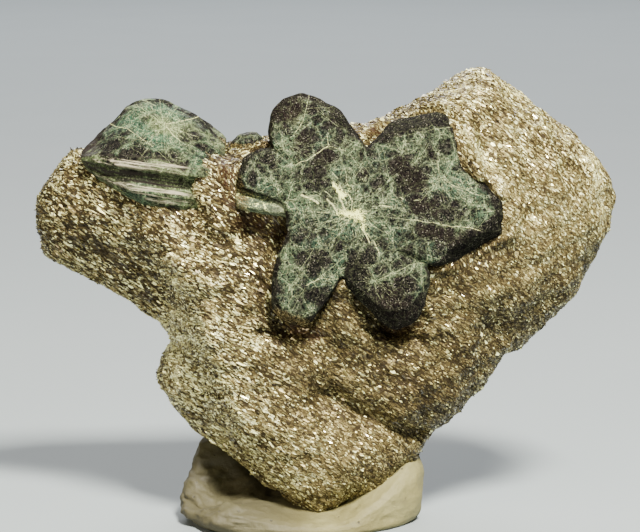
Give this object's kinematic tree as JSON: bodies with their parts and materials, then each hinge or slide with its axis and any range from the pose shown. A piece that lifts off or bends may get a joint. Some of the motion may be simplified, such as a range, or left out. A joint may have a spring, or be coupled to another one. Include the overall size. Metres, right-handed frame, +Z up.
{
  "type": "mineral specimen",
  "caption": "Dark green cyclic twins of chrysoberyl grown on a golden brown mica schist matrix, held upright in a lump of cream mounting putty",
  "frame": {"origin": "on the putty's flat underside, straight below the tip of the stone", "axes": "+Z up; -Y towards the viewer who faces the crystals; +X to that viewer's right"},
  "size_m": [0.0748, 0.0306, 0.0577],
  "materials": {
    "schist": "golden brown mica schist, coarse glinting flakes along a wavy foliation",
    "chrysoberyl": "dark green to black, vitreous and a little worn, with a web of pale green and cream veins",
    "putty": "matt cream putty, hand pressed, with small pits and specks"
  },
  "bodies": {
    "root": {"mica_schist_matrix": "schist", "chrysoberyl_sixling": "chrysoberyl", "chrysoberyl_edge_twin": "chrysoberyl", "chrysoberyl_knob": "chrysoberyl", "putty_mount": "putty"}
  },
  "joints": []
}
